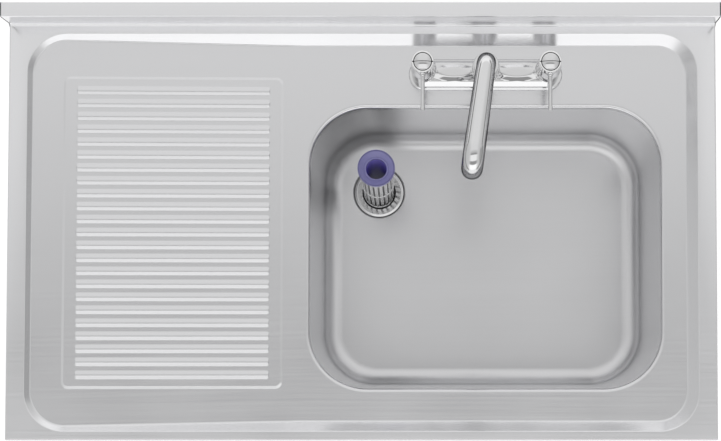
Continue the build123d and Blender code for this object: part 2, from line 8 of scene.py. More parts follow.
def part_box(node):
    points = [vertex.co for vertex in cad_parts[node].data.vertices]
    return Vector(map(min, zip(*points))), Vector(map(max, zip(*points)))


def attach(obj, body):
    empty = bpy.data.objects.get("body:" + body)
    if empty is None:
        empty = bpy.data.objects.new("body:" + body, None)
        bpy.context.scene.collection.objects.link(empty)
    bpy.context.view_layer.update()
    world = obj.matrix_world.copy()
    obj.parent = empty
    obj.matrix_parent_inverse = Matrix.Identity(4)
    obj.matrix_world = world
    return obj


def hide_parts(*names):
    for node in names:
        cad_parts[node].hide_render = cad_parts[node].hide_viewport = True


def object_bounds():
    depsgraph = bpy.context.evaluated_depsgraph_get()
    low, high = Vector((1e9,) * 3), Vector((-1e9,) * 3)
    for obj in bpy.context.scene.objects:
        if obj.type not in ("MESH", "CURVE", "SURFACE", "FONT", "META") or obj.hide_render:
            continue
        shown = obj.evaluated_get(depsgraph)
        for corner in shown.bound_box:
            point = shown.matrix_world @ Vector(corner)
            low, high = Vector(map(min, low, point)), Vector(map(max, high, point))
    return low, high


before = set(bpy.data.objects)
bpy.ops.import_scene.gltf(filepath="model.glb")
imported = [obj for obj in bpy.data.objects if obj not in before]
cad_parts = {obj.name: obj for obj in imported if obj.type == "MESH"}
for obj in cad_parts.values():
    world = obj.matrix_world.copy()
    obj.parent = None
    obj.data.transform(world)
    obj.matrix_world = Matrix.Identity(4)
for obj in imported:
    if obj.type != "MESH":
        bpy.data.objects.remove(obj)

cad_box = [list(map(float, corner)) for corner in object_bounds()]


# ---- Viewpoint ----
# The sink is seen from almost straight above, from a point in front of its middle and right of it, and the
# picture is cut to the sink's outline. The upright edges therefore lean away from that point.

view_point = Vector((0.131, -0.186, 1.451))
view_tilt = np.radians(1.54)
picture_width = 721
focal_pixels = 1005
picture_shift = Vector((-0.131, 0.150))

camera_data = bpy.data.cameras.new("camera")
camera = bpy.data.objects.new("camera", camera_data)
bpy.context.scene.collection.objects.link(camera)
bpy.context.scene.camera = camera
camera.location = view_point
camera.rotation_euler.x = view_tilt
camera_data.lens = camera_data.sensor_width * focal_pixels / picture_width
camera_data.shift_x, camera_data.shift_y = picture_shift
camera_data.clip_end = 40


# ---- Studio ----
# A pale floor under the waste and a wide soft sky: a light panel overhead, parted by thin dark gaps, a bright
# wall in front, a light wall behind, and dimmer walls at the sides with a dark strip along the horizon.

def feed(tree, socket, value):
    """Gives a shader input another node's output, or a plain value."""
    if hasattr(value, "links"):
        tree.links.new(value, socket)
    else:
        socket.default_value = value


def maths(tree, operation, *values):
    """The result of one Math node."""
    node = tree.nodes.new("ShaderNodeMath")
    node.operation = operation
    for socket, value in zip(node.inputs, values):
        feed(tree, socket, value)
    return node.outputs[0]


floor_level = cad_box[0][2]
floor_half = 1.3
floor_lift = 0.50
floor_mesh = bpy.data.meshes.new("floor")
corners = [(floor_half * x, floor_half * y) for x, y in ((-1, -1), (1, -1), (1, 1), (-1, 1))]
floor_mesh.from_pydata([(x, y, floor_level) for x, y in corners], [], [(0, 1, 2, 3)])
floor = bpy.data.objects.new("floor", floor_mesh)
bpy.context.scene.collection.objects.link(floor)

floor_paint = bpy.data.materials.new("floor_paint")
floor_paint.use_nodes = True
paint_tree = floor_paint.node_tree
paint = paint_tree.nodes["Principled BSDF"].inputs
paint["Base Color"].default_value = (0.80, 0.80, 0.80, 1)
paint["Roughness"].default_value = 0.9
paint["Emission Color"].default_value = (1, 1, 1, 1)
ray = paint_tree.nodes.new("ShaderNodeLightPath").outputs
seen = maths(paint_tree, "MAXIMUM", ray["Is Camera Ray"], ray["Is Glossy Ray"])
seen = maths(paint_tree, "MAXIMUM", seen, ray["Is Transmission Ray"])
feed(paint_tree, paint["Emission Strength"], maths(paint_tree, "MULTIPLY", seen, floor_lift))
floor_mesh.materials.append(floor_paint)

sky_strength = 1.27
horizon_strip = (0.24, 0.24, 0.24, 1)
right_dimming = 0.36
sky = bpy.data.worlds.new("sky")
bpy.context.scene.world = sky
sky.use_nodes = True
sky_tree = sky.node_tree
sky_tree.nodes.clear()


def sky_ramp(value, stops):
    """Grey level along a value from 0 to 1, eased between stops of (place, level)."""
    node = sky_tree.nodes.new("ShaderNodeValToRGB")
    node.color_ramp.interpolation = "EASE"
    ramp = node.color_ramp.elements
    while len(ramp) < len(stops):
        ramp.new(0.5)
    for element, (place, level) in zip(ramp, stops):
        element.position = place
        element.color = (level, level, level, 1)
    sky_tree.links.new(value, node.inputs[0])
    return node.outputs[0]


def sky_mix(share, first, second):
    """The first grey level where the share is 0 and the second where it is 1."""
    node = sky_tree.nodes.new("ShaderNodeMix")
    node.data_type = "RGBA"
    for socket, value in (("Factor", share), ("A", first), ("B", second)):
        feed(sky_tree, node.inputs[socket], value)
    return node.outputs["Result"]


direction = sky_tree.nodes.new("ShaderNodeTexCoord").outputs["Generated"]
parts = sky_tree.nodes.new("ShaderNodeSeparateXYZ")
sky_tree.links.new(direction, parts.inputs[0])
along, depth, up = parts.outputs["X"], parts.outputs["Y"], parts.outputs["Z"]
# from straight ahead on the front horizon (0) over the zenith (a half) to the back horizon (1)
over = maths(sky_tree, "MULTIPLY_ADD", maths(sky_tree, "ARCTAN2", depth, up), 1 / np.pi, 0.5)
front_to_back = sky_ramp(over, [
    (0.0, 0.80), (0.05, 1.0), (0.16, 1.0), (0.19, 0.28), (0.265, 0.28), (0.29, 0.80), (0.44, 0.80),
    (0.465, 0.26), (0.49, 0.32), (0.52, 0.45), (0.56, 0.54), (0.60, 0.64), (0.90, 0.66), (0.97, 0.88),
])
# the side walls, of which the right one is dimmer except towards the back
sideways = maths(sky_tree, "ABSOLUTE", along)
side_share = sky_ramp(sideways, [(0.35, 0.0), (0.75, 1.0)])
side_level = sky_ramp(sideways, [(0.50, 0.56), (1.0, 0.50)])
far_right = sky_ramp(along, [(0.80, 0.0), (0.93, 1.0)])
not_back = sky_ramp(depth, [(0.22, 1.0), (0.45, 0.0)])
right_share = maths(sky_tree, "MULTIPLY", far_right, not_back)
side_level = maths(
    sky_tree, "MULTIPLY", side_level, maths(sky_tree, "MULTIPLY_ADD", right_share, -right_dimming, 1.0)
)
all_walls = sky_mix(side_share, front_to_back, side_level)
# the dark strip along the horizon at both sides
near_horizon = sky_ramp(
    maths(sky_tree, "MULTIPLY_ADD", up, 0.5, 0.5), [(0.43, 0.0), (0.45, 1.0), (0.51, 1.0), (0.53, 0.0)]
)
at_sides = sky_ramp(maths(sky_tree, "ABSOLUTE", depth), [(0.80, 1.0), (0.92, 0.0)])
in_strip = maths(sky_tree, "MULTIPLY", near_horizon, at_sides)
studio_light = sky_tree.nodes.new("ShaderNodeBackground")
studio_light.inputs["Strength"].default_value = sky_strength
white_backdrop = sky_tree.nodes.new("ShaderNodeBackground")
white_backdrop.inputs["Color"].default_value = (1, 1, 1, 1)
seen_kind = sky_tree.nodes.new("ShaderNodeLightPath")
chosen = sky_tree.nodes.new("ShaderNodeMixShader")
for output, socket in (
    (sky_mix(in_strip, all_walls, horizon_strip), studio_light.inputs["Color"]),
    (seen_kind.outputs["Is Camera Ray"], chosen.inputs["Fac"]),
    (studio_light.outputs[0], chosen.inputs[1]),
    (white_backdrop.outputs[0], chosen.inputs[2]),
    (chosen.outputs[0], sky_tree.nodes.new("ShaderNodeOutputWorld").inputs["Surface"]),
):
    sky_tree.links.new(output, socket)
bpy.context.scene.view_settings.view_transform = "Standard"


# ---- Worktop ----
# One stainless sheet: the rim, the sunken deck and the ribbed drainer are pressed in it, the aprons and their
# return flange are folded down, and the back is folded up into the upstand. Its welded corners are ground.

def outline(low, high, radius, arc_steps, side_x=(), side_y=()):
    """Points round a rectangle with round corners, anticlockwise from its left side: each corner is a quarter
    circle about its own centre, and the straight sides have the extra points asked for."""
    turn = np.linspace(0, np.pi / 2, arc_steps + 1)
    side_x, side_y = np.asarray(side_x, float), np.asarray(side_y, float)

    def corner(x, y, start):
        return np.column_stack([x + radius * np.cos(start + turn), y + radius * np.sin(start + turn)])

    def side(x, y):
        return np.column_stack(np.broadcast_arrays(x, y)).reshape(-1, 2)

    return np.vstack([
        corner(low[0] + radius, low[1] + radius, np.pi),
        side(side_x, low[1]),
        corner(high[0] - radius, low[1] + radius, 1.5 * np.pi),
        side(high[0], side_y),
        corner(high[0] - radius, high[1] - radius, 0),
        side(side_x[::-1], high[1]),
        corner(low[0] + radius, high[1] - radius, np.pi / 2),
        side(low[0], side_y[::-1]),
    ])


def raised(flat_points, level):
    """Flat points lifted to a level, which is one height or one for each point."""
    flat_points = np.asarray(flat_points, float)
    return np.column_stack([flat_points, np.broadcast_to(level, len(flat_points))])


def strip(rows, closed=True):
    """Quads between neighbouring rows of points. They face up where the rows run anticlockwise and inwards;
    closed joins the last column to the first."""
    rows = np.asarray(rows, float)
    count = rows.shape[1]
    row = np.arange(rows.shape[0] - 1)[:, None] * count
    column = np.arange(count if closed else count - 1)[None, :]
    after = (column + 1) % count
    quads = np.stack([row + column, row + after, row + count + after, row + count + column], -1)
    return rows.reshape(-1, 3), quads.reshape(-1, 4).tolist()


def flat_fill(outer, level, holes=(), lines=()):
    """A patch at a level, which is a height or a function of X, that fills an outline round its holes and
    along the given lines: a constrained Delaunay triangulation, without the triangles whose middle an odd
    number of hole edges lie to the right of."""
    chains = [(loop, True) for loop in [outer, *holes]] + [(line, False) for line in lines]
    points, edges = [], []
    for chain, closed in chains:
        start = len(points)
        points += [Vector((float(p[0]), float(p[1]))) for p in chain]
        steps = len(chain) if closed else len(chain) - 1
        edges += [(start + i, start + (i + 1) % len(chain)) for i in range(steps)]
    only_inside = 1
    found = delaunay_2d_cdt(points, edges, [], only_inside, 1e-7)
    flat, triangles = np.array([tuple(p) for p in found[0]]), np.array(found[2])
    middle = flat[triangles].mean(axis=1)
    crossings = np.zeros(len(middle), int)
    for hole in holes:
        loop = np.asarray(hole, float)[:, :2]
        for (x0, y0), (x1, y1) in zip(loop, np.roll(loop, -1, axis=0)):
            spans = (y0 > middle[:, 1]) != (y1 > middle[:, 1])
            reach = x0 + (middle[:, 1] - y0) * (x1 - x0) / (y1 - y0 if y1 != y0 else 1)
            crossings += spans & (middle[:, 0] < reach)
    heights = level(flat[:, 0]) if callable(level) else level
    return raised(flat, heights), triangles[crossings % 2 == 0].tolist()


def make_piece(name, node, patches, finish, body="sink", unrolled=None, weld=1e-6, wall=None,
               sharp=40):
    """One smooth piece from its patches of (points, faces), whose common edges are welded, in place of a CAD
    node. unrolled turns points into a UV map in metres, and a wall goes behind the surface. Faces that meet
    at less than the sharp angle, in degrees, share normals that are weighted by area."""
    mesh = bpy.data.meshes.new(name)
    start, points, faces = 0, [], []
    for patch_points, patch_faces in patches:
        points.append(patch_points)
        faces += [[start + i for i in face] for face in patch_faces]
        start += len(patch_points)
    mesh.from_pydata(np.vstack(points).tolist(), [], faces)
    shape = bmesh.new()
    shape.from_mesh(mesh)
    bmesh.ops.remove_doubles(shape, verts=shape.verts, dist=weld)
    bmesh.ops.dissolve_degenerate(shape, edges=shape.edges, dist=weld)
    shape.to_mesh(mesh)
    shape.free()
    mesh.shade_smooth()
    if unrolled:
        place = np.zeros(len(mesh.vertices) * 3)
        mesh.vertices.foreach_get("co", place)
        corner_point = np.zeros(len(mesh.loops), int)
        mesh.loops.foreach_get("vertex_index", corner_point)
        flat = unrolled(place.reshape(-1, 3))[corner_point]
        mesh.uv_layers.new(name="unrolled").data.foreach_set("uv", flat.ravel())
    mesh.materials.append(finish)
    piece = bpy.data.objects.new(name, mesh)
    bpy.context.scene.collection.objects.link(piece)
    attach(piece, body)
    if node:
        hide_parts(node)
    if wall:
        solid = piece.modifiers.new("wall", "SOLIDIFY")
        solid.thickness = wall
        solid.offset = -1
        solid.use_rim = True
    if sharp:
        mesh.set_sharp_from_angle(angle=np.radians(sharp))
        piece.modifiers.new("even_shading", "WEIGHTED_NORMAL").keep_sharp = True
    return piece


def new_group(name, inputs):
    """An empty shader group with the named inputs, and with Color, Roughness and Height as its outputs."""
    group = bpy.data.node_groups.new(name, "ShaderNodeTree")
    kinds = {"Color": "NodeSocketColor", "Vector": "NodeSocketVector"}
    for way, names in (("INPUT", inputs), ("OUTPUT", ("Color", "Roughness", "Height"))):
        for socket in names:
            kind = kinds.get(socket, "NodeSocketFloat")
            group.interface.new_socket(socket, in_out=way, socket_type=kind)
    return group, group.nodes.new("NodeGroupInput").outputs, group.nodes.new("NodeGroupOutput").inputs


def noise(tree, place, scale, detail):
    """Soft random values round 0."""
    node = tree.nodes.new("ShaderNodeTexNoise")
    for socket, value in (("Vector", place), ("Scale", scale), ("Detail", detail)):
        feed(tree, node.inputs[socket], value)
    return maths(tree, "SUBTRACT", node.outputs["Fac"], 0.5)


def scaled_color(tree, color, factor):
    """A colour times a factor."""
    node = tree.nodes.new("ShaderNodeVectorMath")
    node.operation = "SCALE"
    feed(tree, node.inputs[0], color)
    feed(tree, node.inputs["Scale"], factor)
    return node.outputs[0]


def steel_grain():
    """Brushed steel: fine lines along the first coordinate over broad faint clouds, both as colour,
    roughness and height."""
    group, given, made = new_group("steel_grain", ("Vector", "Color", "Lines", "Clouds", "Roughness"))

    def streaks(along, across, detail):
        stretch = group.nodes.new("ShaderNodeMapping")
        stretch.inputs["Scale"].default_value = (along, across, across)
        group.links.new(given["Vector"], stretch.inputs["Vector"])
        return noise(group, stretch.outputs[0], 1, detail)

    fine, coarse, cloud = streaks(9, 1500, 2), streaks(2.2, 260, 2), streaks(5, 7, 3)
    lines = maths(group, "MULTIPLY_ADD", fine, 0.7, coarse)
    shade = maths(group, "MULTIPLY_ADD", lines, given["Lines"], 1.0)
    shade = maths(group, "MULTIPLY_ADD", cloud, given["Clouds"], shade)
    rough = maths(group, "MULTIPLY_ADD", lines, 0.10, given["Roughness"])
    feed(group, made["Color"], scaled_color(group, given["Color"], shade))
    feed(group, made["Roughness"], maths(group, "MULTIPLY_ADD", cloud, 0.10, rough))
    feed(group, made["Height"], maths(group, "MULTIPLY_ADD", coarse, 0.8, fine))
    return group


def grained_material(name, group, values, relief_strength, relief_height):
    """A material whose colour, roughness and relief come from a shader group with the given values."""
    material = bpy.data.materials.new(name)
    material.use_nodes = True
    tree = material.node_tree
    surface = tree.nodes["Principled BSDF"].inputs
    grain = tree.nodes.new("ShaderNodeGroup")
    grain.node_tree = group
    for socket, value in values.items():
        grain.inputs[socket].default_value = value
    relief = tree.nodes.new("ShaderNodeBump")
    relief.inputs["Strength"].default_value = relief_strength
    relief.inputs["Distance"].default_value = relief_height
    tree.links.new(grain.outputs["Height"], relief.inputs["Height"])
    tree.links.new(grain.outputs["Color"], surface["Base Color"])
    tree.links.new(grain.outputs["Roughness"], surface["Roughness"])
    tree.links.new(relief.outputs[0], surface["Normal"])
    return material, surface, grain


# painted highlight: how much brighter the steel's colour is above a given height, on the rim and the upstand
rim_highlight_gain = 1.08
steel_group = steel_grain()


def brushed_steel(name, steel, roughness, lines, clouds, stretch, highlight_above=None):
    """Stainless steel whose reflections are drawn out across its brush lines, which follow the unrolled
    sheet. Above the height given, its colour is a little brighter: a painted highlight on the rim and
    everything above it."""
    values = {"Color": (*steel, 1), "Lines": lines, "Clouds": clouds, "Roughness": roughness}
    material, surface, grain = grained_material(name, steel_group, values, 0.14, 0.00006)
    tree = material.node_tree
    surface["Metallic"].default_value = 1
    surface["Anisotropic"].default_value = stretch
    surface["Anisotropic Rotation"].default_value = 0.25
    tangent = tree.nodes.new("ShaderNodeTangent")
    tangent.direction_type = "UV_MAP"
    tangent.uv_map = "unrolled"
    tree.links.new(tangent.outputs[0], surface["Tangent"])
    place = tree.nodes.new("ShaderNodeTexCoord")
    tree.links.new(place.outputs["UV"], grain.inputs["Vector"])
    # painted highlight: above the given height the colour is raised by the gain
    if highlight_above:
        height = tree.nodes.new("ShaderNodeSeparateXYZ")
        tree.links.new(place.outputs["Object"], height.inputs[0])
        gain = tree.nodes.new("ShaderNodeMapRange")
        for socket, value in (("Value", height.outputs["Z"]), ("From Min", highlight_above - 0.0005),
                              ("From Max", highlight_above), ("To Min", 1.0), ("To Max", rim_highlight_gain)):
            feed(tree, gain.inputs[socket], value)
        brighter = scaled_color(tree, grain.outputs["Color"], gain.outputs["Result"])
        tree.links.new(brighter, surface["Base Color"])
    return material


sheet = 0.0015
top_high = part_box("worktop")[1]
half_length = top_high.x
back = top_high.y
rail_level = top_high.z
rim_level = 0.040
deck_level = 0.025
upstand_face = back - 0.021

edge_radius = 0.002
cove_radius = 0.004
apron_corner = 0.003
flange_reach = 0.018

# the pressed recess and its slope
recess_low = np.array([-half_length + 0.026, -back + 0.013])
recess_high = np.array([half_length - 0.026, back - 0.035])
recess_corner = 0.056
slope = 0.015 / 0.0135
rim_ease = 0.0007
foot_ease = 0.0014

# the bowl's mouth, as far as the seam under its lip
bowl_low, bowl_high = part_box("bowl")
mouth_low = np.array([bowl_low.x + sheet, bowl_low.y + sheet])
mouth_high = np.array([bowl_high.x - sheet, bowl_high.y - sheet])
mouth_corner = 0.082
lip_radius = 0.0055
seam_level = bowl_high.z

# the drainer climbs to the left from its break line
break_line = mouth_low[0] - 0.014
break_ease = 0.008
climb = np.tan(np.radians(1.2118))


def sunken_level(x):
    """Height of the sunken floor: level round the bowl, then a straight climb to the left whose start is
    rounded by a parabola."""
    run = break_line - np.asarray(x, float)
    eased = (run + break_ease) ** 2 / (4 * break_ease)
    return deck_level + climb * np.where(run > break_ease, run, np.where(run > -break_ease, eased, 0))


def eased_lower(first, second, ease):
    """The lower of two heights, with their meeting rounded by a parabola over the ease."""
    overlap = np.maximum(ease - np.abs(first - second), 0) / ease
    return np.minimum(first, second) - overlap**2 * ease / 4


def pressed_level(inward, x):
    """Height across the recess's edge: the rim, then the slope, then the sunken floor, rounded between."""
    flank = rim_level - slope * inward
    floor_height = sunken_level(x)
    return eased_lower(rim_level, -eased_lower(-flank, -floor_height, foot_ease), rim_ease)


break_lines = break_line + break_ease * np.linspace(-1, 1, 5)
long_side = np.sort(np.concatenate([np.linspace(-0.40, 0.40, 25), break_lines]))
short_side = np.linspace(-0.20, 0.18, 12)
across = np.concatenate([
    np.linspace(-0.0016, 0.0016, 11), np.linspace(0.0022, 0.0154, 45), [0.0165, 0.019, 0.0215]
])
recess_rows = []
for inward in across:
    ring = outline(recess_low + inward, recess_high - inward, recess_corner - inward, 24, long_side,
                   short_side)
    recess_rows.append(raised(ring, pressed_level(inward, ring[:, 0])))
recess_band = strip(recess_rows)

# the pad under the ribs stands a little proud of the drainer
pad_low = np.array([recess_low[0] + 0.051, recess_low[1] + 0.061])
pad_high = np.array([break_line - 0.026, recess_high[1] - 0.061])
pad_corner = 0.0085
pad_rise = 0.00105
pad_edge_half = 0.0022
foot_part, crest_part = 0.14, 0.28


def flank_rise(share):
    """Height across a flank as a share of its whole: a straight run whose start at the foot and end at the
    crest are rounded by parabolas."""
    at_foot = np.minimum(share, foot_part) ** 2 / (2 * foot_part)
    beyond_foot = np.maximum(share - foot_part, 0)
    at_crest = np.maximum(share - (1 - crest_part), 0) ** 2 / (2 * crest_part)
    return (at_foot + beyond_foot - at_crest) / (1 - foot_part / 2 - crest_part / 2)


flank_shares = np.array([0, 0.05, 0.1, foot_part, 0.3, 0.5, 1 - crest_part, 0.78, 0.84, 0.89, 0.94, 0.98, 1])
pad_rows = []
for share in flank_shares:
    inward = pad_edge_half * (2 * share - 1)
    ring = outline(pad_low + inward, pad_high - inward, pad_corner - inward, 8, np.linspace(-0.40, -0.14, 9))
    pad_rows.append(raised(ring, sunken_level(ring[:, 0]) + pad_rise * flank_rise(share)))
pad_band = strip(pad_rows)

# ribs: a gentle flank to the back, a sharper one to the front, and short steep ends
rib_count = 23
rib_pitch = 0.01836
rib_half_width = 0.0066
rib_height = 0.00130
crest_shift = -0.0005
rib_corner = 0.0040
left_end, right_end = 0.0020, 0.0012
rib_low_x = pad_low[0] + 0.017
rib_high_x = pad_high[0] - 0.017
pad_middle_y = (pad_low[1] + pad_high[1]) / 2
rib_feet, rib_patches = [], []
for i in range(rib_count):
    middle = pad_middle_y + rib_pitch * (i - (rib_count - 1) / 2)
    low = np.array([rib_low_x, middle - rib_half_width])
    high = np.array([rib_high_x, middle + rib_half_width])
    end_rows = middle + np.linspace(-0.0018, 0.0018, 4)
    foot = outline(low, high, rib_corner, 7, np.linspace(-0.38, -0.155, 7), end_rows)
    crest = np.column_stack([
        np.clip(foot[:, 0], rib_low_x + left_end, rib_high_x - right_end),
        np.full(len(foot), middle + crest_shift),
    ])
    rows = []
    for share in flank_shares:
        flat = foot * (1 - share) + crest * share
        rows.append(raised(flat, sunken_level(flat[:, 0]) + pad_rise + rib_height * flank_rise(share)))
    rib_feet.append(foot)
    rib_patches.append(strip(rows))

pad_flat = flat_fill(pad_rows[-1], lambda x: sunken_level(x) + pad_rise, rib_feet)


def mouth_ring(outward):
    """Points round the bowl's mouth, moved outwards."""
    return outline(mouth_low - outward, mouth_high + outward, mouth_corner + outward, 24,
                   np.linspace(0.02, 0.33, 7), np.linspace(-0.14, 0.07, 5))


# the lip is drawn down into the bowl's mouth
lip_path = [(lip_radius + 0.001, 0.0)]
for t in np.linspace(0, np.pi / 2, 9):
    lip_path.append((lip_radius * (1 - np.sin(t)), lip_radius * (np.cos(t) - 1)))
lip_path.append((0.0, seam_level - deck_level))
mouth_rows = [raised(mouth_ring(outward), deck_level + rise) for outward, rise in lip_path]
mouth_band = strip(mouth_rows)

deck_lines = []
inner_ring = recess_rows[-1]
for x in break_lines:
    on_line = inner_ring[np.abs(inner_ring[:, 0] - x) < 1e-7]
    deck_lines.append(on_line[np.argsort(on_line[:, 1])])
deck_flat = flat_fill(inner_ring, sunken_level, [pad_rows[0], mouth_rows[0]], deck_lines)

# the rim, its rounded outer edge, the aprons and the return flange, from the back left corner round the front
quarter = np.linspace(0, np.pi / 2, 7)
nearing, leaving = edge_radius * (1 - np.sin(quarter)), edge_radius * (1 - np.cos(quarter))
skirt_path = [*zip(nearing, rim_level - leaving), *zip(leaving, nearing), (flange_reach, 0.0)]
skirt_rows = []
for inset, level in skirt_path:
    ring = outline(
        (-half_length + inset, -back + inset), (half_length - inset, back + 0.05),
        max(apron_corner - inset, 1e-6), 6,
    )
    front_run = ring[ring[:, 1] < back]
    left_start = [-half_length + inset, back - edge_radius]
    right_end = [half_length - inset, back - edge_radius]
    skirt_rows.append(raised(np.vstack([left_start, front_run, right_end]), level))
skirt = strip(skirt_rows[::-1], closed=False)

rim_edge = skirt_rows[0].copy()
cove_start = upstand_face - cove_radius
rim_edge[[0, -1], 1] = cove_start
rim_flat = flat_fill(rim_edge, rim_level, [recess_rows[0]])

# the upstand's fold, as a path of (y, z) from the cove over the rail to the back's return flange
rail_path = [
    *zip(cove_start + cove_radius * np.sin(quarter), rim_level + cove_radius * (1 - np.cos(quarter))),
    *zip(upstand_face + leaving, rail_level - nearing), *zip(back - nearing, rail_level - leaving),
]
upstand_path = [*rail_path, *zip(back - leaving, nearing), (back - flange_reach, 0.0)]
upstand = strip([[(-half_length, y, z), (half_length, y, z)] for y, z in upstand_path], closed=False)
end_foot = rim_level - 0.004
end_plate = [*rail_path, (back, end_foot), (cove_start, end_foot)]
end_patches = []
for side in (-1, 1):
    plate = np.array([(side * half_length, y, z) for y, z in end_plate])
    end_patches.append((plate, [list(range(len(plate)))[::-side]]))


def unrolled_sheet(points):
    """The sheet before it was folded: X and Y on the flat, and along the side aprons the way down counts on
    from X, as along the front and back it counts on from Y."""
    x, y, z = points.T
    down = rim_level - z
    on_side = np.abs(x) > half_length - 0.0004
    across_sheet = np.where(on_side, np.sign(x) * (np.abs(x) + down), x)
    return np.column_stack([across_sheet, np.where(on_side, y, y - down)])


# the sheet's colour is a little brighter above the rim's level, a painted highlight on the rim, the upstand
# and the rail
sheet_steel = brushed_steel("sheet_steel", (0.80, 0.80, 0.812), 0.22, 0.018, 0.02, 0.60, rim_level - 0.0002)
top_patches = [recess_band, pad_band, pad_flat, mouth_band, deck_flat, skirt, rim_flat, upstand, *rib_patches]
for name, node, patches in (
    ("worktop_sheet", "worktop", top_patches), ("upstand_end_plates", None, end_patches),
):
    make_piece(name, node, patches, sheet_steel, unrolled=unrolled_sheet, wall=sheet)


# ---- Bowl ----
# A deep-drawn stainless bowl, butt-welded to the deck's lip and ground flush. Its walls taper a little, its
# floor has a wide bend all round, and a shallow round seat is pressed down for the waste.

bowl_floor = bowl_low.z + 0.0045
bowl_draft = 0.0015
floor_bend = 0.026
waste_low, waste_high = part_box("waste_body")
waste_middle = np.array([(waste_low.x + waste_high.x) / 2, (waste_low.y + waste_high.y) / 2])
seat_radius = 0.0400
seat_depth = 0.003
waste_hole = 0.031

wall_height = seam_level - bowl_floor
wall_share = 1 - floor_bend / wall_height
bowl_path = [(bowl_draft * t, seam_level - wall_height * t) for t in np.linspace(0, wall_share, 12)[:-1]]
for t in np.linspace(0, np.pi / 2, 14):
    inset = bowl_draft * wall_share + floor_bend * (1 - np.cos(t))
    bowl_path.append((inset, bowl_floor + floor_bend * (1 - np.sin(t))))
bowl_rows = [raised(mouth_ring(-inset), level) for inset, level in bowl_path]

# the seat's edge falls by 3 t^2 - 2 t^3
seat_turn = np.linspace(0, 2 * np.pi, 73)[:-1]
seat_circle = np.column_stack([np.cos(seat_turn), np.sin(seat_turn)])
seat_path = [(seat_radius + 0.0035, 0.0)]
for t in np.linspace(0, 1, 8):
    seat_path.append((seat_radius + 0.0022 - 0.0035 * t, -seat_depth * t**2 * (3 - 2 * t)))
seat_path.append((waste_hole, -seat_depth))
seat_rows = [raised(waste_middle + r * seat_circle, bowl_floor + drop) for r, drop in seat_path]
floor_flat = flat_fill(bowl_rows[-1], bowl_floor, [seat_rows[0]])


def unrolled_bowl(points):
    """On the walls, the way along the nearer side and the height; on the floor, X and Y."""
    offset = np.abs(points[:, :2] - (mouth_low + mouth_high) / 2) / (mouth_high - mouth_low)
    on_wall = points[:, 2] > bowl_floor + 0.004
    on_end = on_wall & (offset[:, 0] > offset[:, 1])
    along = np.where(on_end, points[:, 1], points[:, 0])
    return np.column_stack([along, np.where(on_wall, points[:, 2], points[:, 1])])


bowl_steel = brushed_steel("bowl_steel", (0.775, 0.775, 0.785), 0.32, 0.03, 0.05, 0.30)
make_piece("bowl_shell", "bowl", [strip(bowl_rows), floor_flat, strip(seat_rows)], bowl_steel,
           unrolled=unrolled_bowl, wall=sheet)


# ---- Waste ----
# A chromed brass waste, turned in one piece: a sloped flange, a cup for the strainer and a threaded outlet.
# A rubber seal, a washer and a large octagonal brass nut clamp it in the bowl's floor.

def rounded(corners, radii):
    """A closed path of corners, each rounded by a circle that touches both of its sides: the circle starts
    radius * tan(turn / 2) before the corner and ends as far after it."""
    corners = np.asarray(corners, float)
    path = []
    for i, radius in enumerate(np.broadcast_to(radii, len(corners))):
        before = corners[i] - corners[i - 1]
        after = corners[(i + 1) % len(corners)] - corners[i]
        heading = np.arctan2(before[1], before[0])
        turn = (np.arctan2(after[1], after[0]) - heading + np.pi) % (2 * np.pi) - np.pi
        if radius == 0:
            path.append(corners[i])
            continue
        side = np.sign(turn) * radius
        start = corners[i] - before / np.hypot(*before) * radius * np.tan(abs(turn) / 2)
        centre = start + side * np.array([-np.sin(heading), np.cos(heading)])
        headings = heading + turn * np.linspace(0, 1, 3 + int(abs(turn) / 0.3))
        path += list(centre + side * np.column_stack([np.sin(headings), -np.cos(headings)]))
    return np.array(path)


def spin(profile, steps=96):
    """Rows of a profile of (radius, height) points spun round the upright axis. Up the outside, in over the
    top and down the bore, its faces look outwards."""
    turn = np.linspace(0, 2 * np.pi, steps, endpoint=False)
    radius, height = np.asarray(profile, float).T[:, :, None]
    return np.stack([radius * np.cos(turn), radius * np.sin(turn), height + 0 * turn], -1)


def turned(profile, steps=96):
    """A closed profile spun round the upright axis."""
    rows = spin(profile, steps)
    return strip(np.concatenate([rows, rows[:1]]))


def thread(radius, low, high, pitch, depth, steps=96):
    """Rows of a screw thread: the radius swings with the phase height / pitch - angle / (2 pi), and the
    groove fades out over the first and the last turn."""
    heights = np.linspace(low, high, int(7 * (high - low) / pitch))[:, None]
    turn = np.linspace(0, 2 * np.pi, steps, endpoint=False)
    groove = 0.5 - 0.5 * np.cos(2 * np.pi * heights / pitch - turn)
    fade = np.clip(np.minimum(heights - low, high - heights) / pitch, 0, 1)
    out = radius - depth * groove * fade
    return np.stack([out * np.cos(turn), out * np.sin(turn), heights + 0 * turn], -1)


def placed(patch, place):
    """A patch set down at a point, or moved and turned by a 4 by 4 matrix."""
    if len(place) == 4:
        matrix = np.array(place)
        return patch[0] @ matrix[:3, :3].T + matrix[:3, 3], patch[1]
    return patch[0] + np.asarray(place), patch[1]


